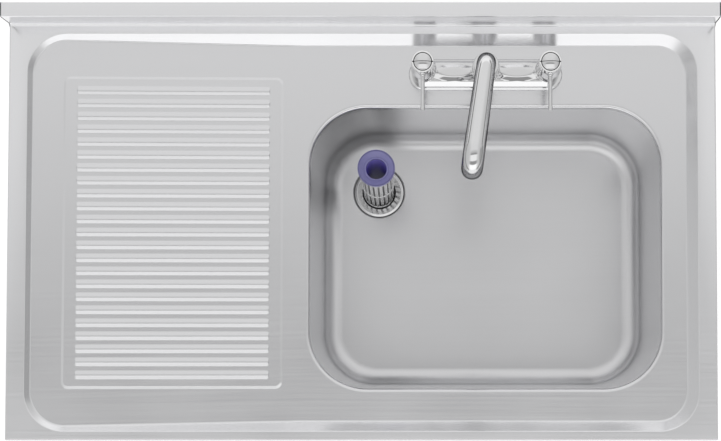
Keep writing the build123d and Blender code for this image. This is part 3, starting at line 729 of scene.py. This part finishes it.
def nut(corner_radius, sides, bore, low, high):
    """A nut with chamfered corners: its radius is the polygon's, flat / cos(angle from the middle of the
    nearest side), but no more than that of a 30 degree cone that starts at each face."""
    steps = sides * 14
    part = 2 * np.pi / sides
    turn = np.linspace(0, 2 * np.pi, steps, endpoint=False)
    flat = corner_radius * np.cos(part / 2)
    polygon = flat / np.cos(turn % part - part / 2)
    cut = (corner_radius - flat) / np.sqrt(3)
    depths = cut * np.linspace(0, 1, 6)
    rows = []
    for height, depth in [*((low + d, d) for d in depths), *((high - d, d) for d in depths[::-1])]:
        out = np.minimum(polygon, flat * 0.995 + depth * np.sqrt(3))
        rows.append(np.stack([out * np.cos(turn), out * np.sin(turn), height + 0 * turn], -1))
    return strip(np.concatenate([rows, spin([(bore, high), (bore, low)], steps), rows[:1]]))


def ring_cut(inner, outer, low, high):
    """Corners of a plain ring's section; a solid disc's has no inner radius."""
    return [(inner, low), (outer, low), (outer, high), (inner, high)]


def turned_piece(name, node, corners, radii, place, finish, body="sink", steps=96, sharp=40):
    """One piece spun from a closed section whose corners are rounded by the radii."""
    patch = placed(turned(rounded(corners, radii), steps), place)
    return make_piece(name, node, [patch], finish, body, sharp=sharp)


def mottle():
    """Small random differences of a plain surface: soft spots and fine grain in colour, sheen and height."""
    group, given, made = new_group(
        "mottle", ("Color", "Spots", "Spot Scale", "Grain Scale", "Roughness", "Roughness Spread")
    )
    place = group.nodes.new("ShaderNodeTexCoord").outputs["Object"]
    spots = noise(group, place, given["Spot Scale"], 4)
    shade = maths(group, "MULTIPLY_ADD", spots, given["Spots"], 1.0)
    rough = maths(group, "MULTIPLY_ADD", spots, given["Roughness Spread"], given["Roughness"])
    feed(group, made["Color"], scaled_color(group, given["Color"], shade))
    feed(group, made["Roughness"], rough)
    feed(group, made["Height"], noise(group, place, given["Grain Scale"], 2))
    return group


mottle_group = mottle()


def plain_finish(name, color, roughness, metallic=0, spots=0.1, spot_scale=60, grain=900, bump=0.00002,
                 spread=0.1, **constants):
    """A surface of one colour with small random differences; constants go to the named shader inputs."""
    values = {"Color": (*color, 1), "Spots": spots, "Spot Scale": spot_scale, "Grain Scale": grain,
              "Roughness": roughness, "Roughness Spread": spread}
    material, surface, _ = grained_material(name, mottle_group, values, 1, bump)
    for socket, value in {"Metallic": metallic, **constants}.items():
        surface[socket.replace("_", " ")].default_value = value
    return material


plated = dict(metallic=1, spots=0.03, spot_scale=90, grain=500, bump=0.000004, spread=0.05)
soft = dict(spots=0.4, spot_scale=250, grain=4000, bump=0.00003, spread=0.2)
chrome = plain_finish("chrome_plate", (0.76, 0.76, 0.765), 0.045, **plated)
satin_chrome = plain_finish("satin_chrome_plate", (0.74, 0.74, 0.745), 0.20, 1, 0.16, 260, 1500, 0.00001,
                            0.12)
brass = plain_finish("turned_brass", (0.66, 0.50, 0.25), 0.32, 1, 0.25, 180, 2500, 0.00002, 0.25)
rubber = plain_finish("black_rubber", (0.022, 0.022, 0.024), 0.62, **soft)

waste_place = (*waste_middle, 0)
flange_level = waste_high.z
outlet_end = waste_low.z
outlet_thread = 0.0239
outlet_bore = 0.0195
outlet_pitch = 0.0023091
outlet_groove = 0.0013
barrel_radius = 0.0302
barrel_end = flange_level - 0.0225
flange_radius = 0.0392
flange_foot = flange_level - 0.0025
cup_bore = 0.0266
bore_top = flange_level - 0.0135
foot_rows = spin(rounded(
    [(outlet_thread, barrel_end), (barrel_radius, barrel_end), (barrel_radius, flange_foot),
     (flange_radius, flange_foot), (flange_radius, flange_level - 0.0014), (0.0355, flange_level),
     (cup_bore, flange_level - 0.0015), (cup_bore, bore_top + 0.004), (outlet_thread, bore_top),
     (outlet_bore, bore_top)],
    [0, 0.0006, 0, 0.0003, 0.0006, 0.0035, 0.0009, 0.0015, 0.0005, 0.0008],
))
thread_rows = thread(outlet_thread, outlet_end, barrel_end, outlet_pitch, outlet_groove)
bore_rows = spin([(outlet_bore, bore_top - 0.0015), (outlet_bore, outlet_end), (outlet_thread, outlet_end)])
waste_rows = np.concatenate([thread_rows, foot_rows, bore_rows])
make_piece("waste_fitting", "waste_body", [placed(strip(waste_rows), waste_place)], satin_chrome)
# the rubber seal's black edge is let out past the flange, where it shows as a thin dark line: partly the seal
# itself and partly painted shade of the gap under the flange
turned_piece("waste_seal_ring", "waste_upper_seal",
             ring_cut(waste_hole, 0.0398, flange_foot - 0.001, flange_foot + 0.0004), 0.0004, waste_place,
             rubber)
washer_low, washer_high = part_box("waste_lower_seal")
turned_piece("waste_rubber_washer", "waste_lower_seal",
             ring_cut(waste_hole, 0.0415, washer_low.z, washer_high.z), 0.0006, waste_place, rubber)
nut_low, nut_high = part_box("waste_backnut")
waste_nut = placed(nut(0.044, 8, 0.0303, nut_low.z, nut_high.z), waste_place)
make_piece("waste_clamp_nut", "waste_backnut", [waste_nut], brass, sharp=20)


# ---- Standing overflow ----
# A lift-out overflow that leans a little in its seat: a rubber plug, a plastic pipe, a slotted stainless
# strainer sleeve round it and a purple moulded ring cap on top.

pipe_frame = Matrix.Translation((*waste_middle, flange_level - 0.004136))
pipe_frame = pipe_frame @ Matrix.Rotation(np.radians(42), 4, "Z") @ Matrix.Rotation(np.radians(3.8), 4, "Y")
pipe_bore = 0.015
pipe_radius = 0.018
pipe_foot = 0.0081
liner_radius = 0.0158
liner_foot = -0.0122
plug_radius = 0.022
plug_top = 0.008
plug_profile = [(np.sqrt(plug_radius**2 - h**2), h) for h in np.linspace(-0.013, plug_top, 16)]
plug_profile += [(liner_radius, plug_top), (liner_radius, -0.0124), (liner_radius + 0.0006, -0.013)]
grey_rubber = plain_finish("grey_rubber", (0.085, 0.085, 0.088), 0.60, **soft)
turned_piece("overflow_plug", "standpipe_plug", plug_profile, 0, pipe_frame, grey_rubber,
             "standpipe")

cap_foot = 0.162019
cap_top = cap_foot + 0.012
purple = plain_finish("purple_moulding", (0.235, 0.225, 0.465), 0.40, 0, 0.16, 160, 1400, 0.00006, 0.12,
                      Coat_Weight=0.4, Coat_Roughness=0.12)
cap_profile = [
    (0.0150, cap_foot), (0.0240, cap_foot), (0.0270, cap_top - 0.004), (0.0270, cap_top), (0.0263, cap_top),
    (0.0260, cap_top - 0.0018), (0.0252, cap_top - 0.0018), (0.0249, cap_top - 0.0004),
    (0.0174, cap_top - 0.0066), (0.0170, cap_top - 0.0056), (0.0150, cap_top - 0.0060),
]
cap_rounds = [0.0003, 0.0005, 0.0012, 0.0004, 0.0002, 0.0001, 0.0001, 0.0003, 0.0002, 0.0004, 0.0006]
turned_piece("overflow_ring_cap", "overflow_cap", cap_profile, cap_rounds, pipe_frame, purple,
             "standpipe")
pipe_finish = plain_finish("grey_pipe", (0.62, 0.62, 0.63), 0.40, 0, 0.3, 150, 900, 0.00003, 0.15)
turned_piece("overflow_pipe", "overflow_tube", ring_cut(liner_radius, pipe_radius, pipe_foot, cap_foot), 0,
             pipe_frame, pipe_finish, "standpipe", 64)
liner_finish = plain_finish("purple_liner", (0.40, 0.34, 0.84), 0.45, 0, 0.2, 150, 900, 0.00003, 0.15)
turned_piece("overflow_liner", None, ring_cut(pipe_bore, liner_radius, liner_foot, cap_foot), 0, pipe_frame,
             liner_finish, "standpipe", 64)

# the sleeve as it was punched flat: cells with a round-ended slot each, then rolled to a tube
sleeve_radius = 0.024
sleeve_foot = -0.00347
slots_round = 20
slot_half = 0.0014
cell_half = np.pi * sleeve_radius / slots_round
tiers = [(0.0075, 0.0780), (0.0825, 0.1520)]
bead_level = 0.0042
bead_size = 0.0009
cell_patches, cell_ends = [], [sleeve_foot]
for low, high in tiers:
    ends = np.array([-1e-5, low + slot_half]), np.array([1e-5, high - slot_half])
    side_levels = np.linspace(low + 0.01, high - 0.01, 9)
    hole = outline(ends[0] - slot_half, ends[1] + slot_half, slot_half, 8, (), side_levels)
    nearest = np.clip(hole, ends[0], ends[1])
    away = (hole - nearest) / slot_half
    cell = nearest + away * cell_half / np.abs(away).max(axis=1, keepdims=True)
    cell_patches.append(strip([raised(cell * (1 - t) + hole * t, 0) for t in (0, 0.6, 1)]))
    cell_ends += [cell[:, 1].min(), cell[:, 1].max()]
edge_x = np.unique(np.round(cell[cell[:, 1] > cell[:, 1].max() - 1e-6][:, 0], 9))
cell_ends.append(cap_foot + 0.0005)
for low, high in zip(cell_ends[::2], cell_ends[1::2]):
    grid = np.meshgrid(edge_x, np.linspace(low, high, 16))
    cell_patches.append(strip(np.stack([*grid, 0 * grid[0]], -1), closed=False))
sleeve_patches = []
for i in range(slots_round):
    for points, faces in cell_patches:
        turn = points[:, 0] / sleeve_radius + 2 * np.pi * i / slots_round
        out = sleeve_radius + bead_size * np.exp(-(((points[:, 1] - bead_level) / bead_size) ** 2))
        tube = np.column_stack([out * np.cos(turn), out * np.sin(turn), points[:, 1]])
        sleeve_patches.append(placed((tube, faces), pipe_frame))
polished = plain_finish("polished_steel", (0.72, 0.72, 0.725), 0.20, 1, 0.10, 220, 1800, 0.00001, 0.12)
make_piece("slotted_strainer", "strainer_sleeve", sleeve_patches, polished, "standpipe",
           weld=2e-6, wall=0.001, sharp=50)


# ---- Mixer body ----
# A chromed brass casting on a long round-ended base plate: two arms with a flat oval on top run from the
# spout's boss to the valve towers, and flow into all three with cast fillets.

plate_low, plate_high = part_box("mixer_base_plate")
gasket_low, gasket_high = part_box("mixer_gasket")
tap_middle = np.array([(plate_low.x + plate_high.x) / 2, (plate_low.y + plate_high.y) / 2])
plate_radius = 0.0217
plate_front = 0.0035
plate_bevel = 0.0013
plate_ease = 0.0006
gasket_inset = 0.0012


def round_ended(path):
    """A long plate with half-round ends: rings inset from its outline at the levels of the path, closed by a
    flat top and foot."""
    middle = tap_middle - (0, plate_front)
    corner = np.array([(plate_high.x - plate_low.x) / 2, plate_radius])
    side_places = np.linspace(-0.07, 0.07, 9) + middle[0]
    rows = []
    for inset, level in path:
        ring = outline(middle - corner + inset, middle + corner - inset, plate_radius - inset - 1e-5, 20,
                       side_places)
        rows.append(raised(ring, level))
    foot, foot_faces = flat_fill(rows[0], path[0][1])
    return [strip(rows), flat_fill(rows[-1], path[-1][1]), (foot, [face[::-1] for face in foot_faces])]


plate_path = [(plate_ease, plate_low.z), (0.0, plate_low.z + plate_ease), (0.0, plate_high.z - plate_bevel),
              (plate_bevel, plate_high.z)]
gasket_path = [(gasket_inset + 0.0003, gasket_low.z), (gasket_inset, gasket_low.z + 0.0003),
               (gasket_inset, gasket_high.z)]
make_piece("tap_base_plate", "mixer_base_plate", round_ended(plate_path), chrome)
make_piece("tap_base_gasket", "mixer_gasket", round_ended(gasket_path), rubber)

body_low, body_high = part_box("mixer_body")
tower_radius = 0.0175
boss_radius = 0.019
handle_half = (body_high.x - body_low.x) / 2 - tower_radius
body_foot = body_low.z
tower_top = body_foot + 0.024
arm_middle = handle_half / 2
oval_half = np.array([0.0219, 0.0067])
oval_y = -0.0045
arm_top = 0.0147
arm_ledge = 0.0112
arm_front, arm_back = -0.0230, 0.0150
front_foot = 0.0047
back_edge = 0.0064
arm_ease = 0.00022


def eased_least(heights, ease):
    """The lowest of several heights, with their meetings rounded: -ease * log(sum of exp(-height / ease))."""
    return -ease * np.log(sum(np.exp(-height / ease) for height in heights))


def arm_level(x, y):
    """Height of the two arms: each has a flat oval on top, from whose edge it falls at 34 degrees to a ledge,
    a 45 degree front over an upright foot, and a narrow bevel over a nearly upright back."""
    past_edge = np.hypot((np.abs(x) - arm_middle) / oval_half[0], (y - oval_y) / oval_half[1]) - 1
    shoulder = np.maximum(arm_top - 0.67 * oval_half[1] * past_edge, arm_ledge)
    front_flank = (y - arm_front) + front_foot
    bevel = (arm_back - y) * 0.78 + back_edge
    back_flank = (arm_back - y) * 8
    heights = [np.full_like(x, arm_top), shoulder, front_flank, bevel, back_flank]
    return np.maximum(eased_least(heights, arm_ease), 0)


arm_x, arm_y = np.meshgrid(np.linspace(-handle_half, handle_half, 175), np.linspace(arm_front, arm_back, 61))
arm_rows = np.stack([tap_middle[0] + arm_x, tap_middle[1] + arm_y, body_foot + arm_level(arm_x, arm_y)], -1)
arm_foot = arm_rows.copy()
arm_foot[:, :, 2] = body_foot - 0.0005
casting_patches = [strip(rows, closed=False) for rows in (
    arm_rows, arm_foot[::-1], [arm_foot[0], arm_rows[0]], [arm_rows[-1], arm_foot[-1]],
    [arm_rows[:, 0], arm_foot[:, 0]], [arm_foot[:, -1], arm_rows[:, -1]],
)]
for x, radius, top in (
    (-handle_half, tower_radius, tower_top), (handle_half, tower_radius, tower_top),
    (0, boss_radius, body_high.z),
):
    post = rounded(ring_cut(0, radius, body_foot, top), [0, 0, 0.0012, 0])
    casting_patches.append(placed(turned(post), (tap_middle[0] + x, tap_middle[1], 0)))
casting = make_piece("tap_casting", "mixer_body", casting_patches, chrome, weld=1e-7, sharp=None)
cast = casting.modifiers.new("one_casting", "REMESH")
cast.mode = "VOXEL"
cast.voxel_size = 0.00055
cast.use_smooth_shade = True
flow = casting.modifiers.new("cast_fillets", "SMOOTH")
flow.factor = 0.5
flow.iterations = 6


# ---- Spout nut and valve covers ----
# Chromed turned pieces: the nut that holds the spout down on its boss, and a tapered cover on each tower.

tap_place = np.array([*tap_middle, 0])
valve_places = {"left": tap_place - (handle_half, 0, 0), "right": tap_place + (handle_half, 0, 0)}
spindle_bore = 0.0043
collar_low, collar_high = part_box("spout_nut")
turned_piece("spout_collar_nut", "spout_nut", ring_cut(0.0135, 0.0175, collar_low.z, collar_high.z),
             [0.0002, 0.0004, 0.0014, 0.0004], tap_place, chrome)
for side, place in valve_places.items():
    cover_low, cover_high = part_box(side + "_bonnet")
    cover_profile = [
        (0.0145, cover_low.z - 0.002), (0.0172, cover_low.z - 0.002), (0.0146, cover_high.z),
        (spindle_bore, cover_high.z), (spindle_bore, cover_high.z - 0.0025), (0.0121, cover_high.z - 0.0025),
    ]
    turned_piece(side + "_valve_cover", side + "_bonnet", cover_profile,
                 [0.0003, 0.0005, 0.0010, 0.0003, 0.0003, 0.0005], place, chrome)


# ---- Handles ----
# Each handle is a chromed hub with a domed cap, which has a fine groove across it, and a thin rod with a
# flared collar at the hub and a thicker tip. A black ring round the cap and a black bar in its groove are
# painted shade, standing for the shade in the gap and in the groove.

hub_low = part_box("left_handle_hub")[0]
cap_low, cap_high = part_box("left_handle_cap")
rod_low, rod_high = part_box("left_lever_rod")
rod_level = (rod_low.z + rod_high.z) / 2
dome_radius = 0.0119
dome_rise = 0.0036
dome_edge = 0.0006
groove_half = 0.0004
groove_depth = 0.0006
cap_rim = cap_high.z - dome_rise


def dome_level(x, y):
    """Height of the cap: a shallow dome, less the groove along X, whose sides ease over 0.12 mm."""
    dome = cap_rim + dome_rise * (1 - (x**2 + y**2) / dome_radius**2)
    return dome - groove_depth * np.clip((groove_half - np.abs(y)) / 0.00012, 0, 1)


side_rows = np.concatenate([[0, 0.00022, 0.00028, 0.00034, 0.0004, 0.0006], np.linspace(0.0010, 0.0110, 20)])
inner_radius = dome_radius - dome_edge
spread = np.sin(np.linspace(-np.pi / 2, np.pi / 2, 41))
dome_grid = []
for y in [-inner_radius, *-side_rows[:0:-1], *side_rows, inner_radius]:
    x = spread * np.sqrt(max(inner_radius**2 - y**2, 0))
    dome_grid.append(np.column_stack([x, np.full(len(x), y), dome_level(x, y)]))
dome_grid = np.array(dome_grid)
rim_loop = np.vstack([dome_grid[:, -1], dome_grid[::-1, 0]])
rim_out = rim_loop[:, :2] / inner_radius
rim_rows = [raised(rim_out * dome_radius, cap_low.z)]
for t in np.linspace(0, np.pi / 2, 5)[::-1]:
    flat = rim_out * (inner_radius + dome_edge * np.sin(t))
    rim_rows.append(raised(flat, rim_loop[:, 2] - dome_edge * (1 - np.cos(t))))
dome_cap = [strip(dome_grid, closed=False), strip(rim_rows)]

hub_bore = 0.0129
hub_floor = cap_low.z - 0.0002
hub_profile = [
    (spindle_bore, hub_low.z), (0.0150, hub_low.z), (0.0152, cap_rim + 0.0002), (hub_bore, cap_rim + 0.0002),
    (hub_bore, hub_floor), (spindle_bore, hub_floor),
]
hub_rounds = [0.0003, 0.0012, 0.0008, 0.0002, 0.0001, 0.0002]

# painted shade: a black ring in the gap round the cap, and a black bar in the groove across it, which ends in
# a small arrow at each side
shade_ring_inner = 0.0117
seal_and_shade_ring = turned(rounded(ring_cut(shade_ring_inner, 0.01285, cap_rim - 0.003, cap_rim - 0.0002),
                           [0.0001, 0.0001, 0.0003, 0.0003]))
groove_shade_x = np.concatenate([[-0.0150], np.linspace(-0.0149, 0.0149, 64), [0.0150]])
groove_shade_out = np.abs(groove_shade_x)
groove_shade_half = np.interp(groove_shade_out, [0, 0.0114, 0.0129, 0.0149], [0.00033, 0.00033, 0.0012, 0.00005])
groove_shade_dome = cap_rim + dome_rise * (1 - (groove_shade_x / dome_radius) ** 2)
groove_shade_top = np.where(groove_shade_out < shade_ring_inner, groove_shade_dome - 0.0001, cap_rim + 0.00032)
groove_shade_foot = np.where(groove_shade_out < shade_ring_inner, groove_shade_dome - 0.0008, cap_rim - 0.0004)
groove_shade_rows = np.stack([
    np.column_stack([groove_shade_x, side * groove_shade_half, level])
    for side, level in ((-1, groove_shade_foot), (1, groove_shade_foot), (1, groove_shade_top), (-1, groove_shade_top))
], 1)
groove_shade_rows[[0, -1]] = groove_shade_rows[[0, -1]].mean(axis=1, keepdims=True)
groove_shade_bar = strip(groove_shade_rows)

# the rod runs from a flared collar past two fine rings to its tip, with the flare 1 - share to the power 2.4
rod_radius = 0.0028
rod_root = 0.0025
rod_start = 0.0156
rod_end = 0.061
collar_length = 0.0055
rod_profile = [(0.0, rod_start - 0.0042), (rod_root, rod_start - 0.0042), (rod_root, rod_start),
               (0.0047, rod_start)]
for share in np.linspace(0, 1, 10):
    rod_profile.append((0.0029 + 0.0021 * (1 - share) ** 2.4, rod_start + 0.0003 + collar_length * share))
for groove in (0.0262, 0.0435):
    rod_profile += [(rod_radius, groove - 0.0004), (0.00255, groove), (rod_radius, groove + 0.0004)]
rod_profile += [(rod_radius, rod_end), (0.0, rod_end)]
tip_profile = ring_cut(0, 0.0035, rod_end, 0.066)
bright_chrome = plain_finish("chrome_ring", (0.95, 0.95, 0.95), 0.06, **plated)
for side, place in valve_places.items():
    lever_frame = Matrix.Translation((*place[:2], rod_level)) @ Matrix.Rotation(np.radians(90), 4, "X")
    body = side + "_handle"
    turned_piece(side + "_hub", side + "_handle_hub", hub_profile, hub_rounds, place, bright_chrome,
                 body)
    cap_patches = [placed(patch, place) for patch in dome_cap]
    make_piece(side + "_domed_cap", side + "_handle_cap", cap_patches, chrome, body, sharp=35)
    # painted shade in black rubber, in the gap round the cap and in its groove
    shade_patches = [placed(patch, place) for patch in (seal_and_shade_ring, groove_shade_bar)]
    make_piece(side + "_cap_painted_shade", None, shade_patches, rubber, body, sharp=35)
    rod = placed(strip(spin(rod_profile, 40)), lever_frame)
    make_piece(side + "_rod", side + "_lever_rod", [rod], chrome, body, sharp=50)
    turned_piece(side + "_rod_tip", side + "_lever_tip", tip_profile, [0, 0.0004, 0.0009, 0], lever_frame,
                 chrome, body, 40, 50)


# ---- Spout ----
# A bent chromed brass tube that turns in the boss: a short column, a bend to a gentle climb, a slightly
# widening run, a tight elbow down, and the housing of the flow former.

column_foot = 0.0425
column_top = 0.073
root_bend = 0.030
end_bend = 0.017
climb_angle = np.radians(22)
run_length = 0.12497
column_radius = 0.013
mouth_radius = 0.0144
nozzle_length = 0.006
# the tube's path as (way forward, height, heading, radius)
spout_path = [(0, z, np.pi / 2, column_radius) for z in np.linspace(column_foot, column_top, 12)]
for heading in np.linspace(np.pi / 2, climb_angle, 28)[1:]:
    spout_path.append((root_bend * (1 - np.sin(heading)), column_top + root_bend * np.cos(heading), heading,
                       column_radius))
run_start = np.array(spout_path[-1][:2])
run_way = np.array([np.cos(climb_angle), np.sin(climb_angle)])
for share in np.linspace(0.02, 1, 48):
    radius = column_radius + (mouth_radius - column_radius) * np.sqrt(share)
    spout_path.append((*(run_start + run_way * run_length * share), climb_angle, radius))
bend_centre = run_start + run_way * run_length + end_bend * np.array([run_way[1], -run_way[0]])
for heading in np.linspace(climb_angle, -np.pi / 2, 34)[1:]:
    outwards = np.array([-np.sin(heading), np.cos(heading)])
    spout_path.append((*(bend_centre + end_bend * outwards), heading, mouth_radius))
outlet_way, outlet_level = spout_path[-1][:2]
housing_top = outlet_level - nozzle_length
spout_path += [(outlet_way, housing_top + 0.0002, -np.pi / 2, mouth_radius),
               (outlet_way, housing_top, -np.pi / 2, mouth_radius - 0.0002)]

swing = np.radians(7.6)
ahead = np.array([-np.sin(swing), -np.cos(swing), 0])
upright = np.array([0, 0, 1.0])
to_right = np.cross(upright, ahead)
ring_turn = np.linspace(0, 2 * np.pi, 96, endpoint=False)[:, None]
spout_rows = []
for forward, level, heading, radius in spout_path:
    across_path = -np.sin(heading) * ahead + np.cos(heading) * upright
    centre = tap_place + forward * ahead + level * upright
    spout_rows.append(centre + radius * (np.cos(ring_turn) * to_right + np.sin(ring_turn) * across_path))
# painted shade: the near-black specular tint darkens the tube's reflection towards its outline
edge_shaded_chrome = plain_finish("chrome_tube_shaded_edge", (0.78, 0.78, 0.785), 0.045, **plated,
                           Specular_Tint=(0.05, 0.05, 0.055, 1))
make_piece("bent_spout", "spout_tube", [strip(spout_rows)], edge_shaded_chrome, "spout", wall=0.0016,
           sharp=None)
turned_piece("flow_housing", "aerator_housing", ring_cut(0.012, 0.014, housing_top - 0.012, housing_top),
             [0.0003, 0.0012, 0.0003, 0.0001], tap_place + outlet_way * ahead, chrome, "spout")


# ---- Supply tails ----
# Threaded brass tails that come down through the deck, each with a fibre washer and a hexagonal nut.

tail_thread = 0.01048
tail_neck = 0.0103
tail_bore = 0.0065
thread_length = 0.044
tail_pitch = 0.001814
tail_groove = 0.0011
fibre = plain_finish("red_fibre", (0.33, 0.055, 0.03), 0.8, 0, 0.5, 300, 2500, 0.00008)
tail_nut_low, tail_nut_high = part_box("tail_backnuts")
tail_nuts = []
for side, place in valve_places.items():
    tail_low, tail_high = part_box(side + "_inlet_tail")
    neck = spin([(tail_neck, tail_low.z + thread_length + 0.0002), (tail_neck, tail_high.z),
                 (tail_bore, tail_high.z), (tail_bore, tail_low.z), (tail_thread, tail_low.z)], 72)
    threaded = thread(tail_thread, tail_low.z, tail_low.z + thread_length, tail_pitch, tail_groove, 72)
    make_piece(side + "_threaded_tail", side + "_inlet_tail",
               [placed(strip(np.concatenate([threaded, neck])), place)], brass)
    tail_nuts.append(placed(nut(0.0156, 6, 0.0104, tail_nut_low.z, tail_nut_high.z), place))
make_piece("tail_clamp_nuts", "tail_backnuts", tail_nuts, brass, sharp=20)


# ---- Pieces kept as built ----
# Stiffening channels and corner plates under the top, the pad against drumming under the bowl, the tap's
# bearing, valves and screws, and the flow former's insert.

zinc = plain_finish("zinc_plated_steel", (0.52, 0.53, 0.54), 0.38, 1, 0.30, 70, 1500, 0.00003, 0.25)
felt = plain_finish("damping_felt", (0.060, 0.060, 0.062), 0.95, 0, 0.5, 500, 3000, 0.00025)
nylon = plain_finish("white_nylon", (0.80, 0.80, 0.78), 0.45, 0, 0.06, 90, 1800)
for names, finish in (
    (["drainer_stiffeners", "corner_gussets", "left_handle_screw", "right_handle_screw"], zinc),
    (["bowl_damping_pad"], felt),
    (["spout_bush", "aerator_insert"], nylon),
    (["tail_washers"], fibre),
    (["left_cartridge", "right_cartridge", "left_spindle", "right_spindle"], brass),
):
    for name in names:
        for material_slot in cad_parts[name].material_slots:
            material_slot.material = finish
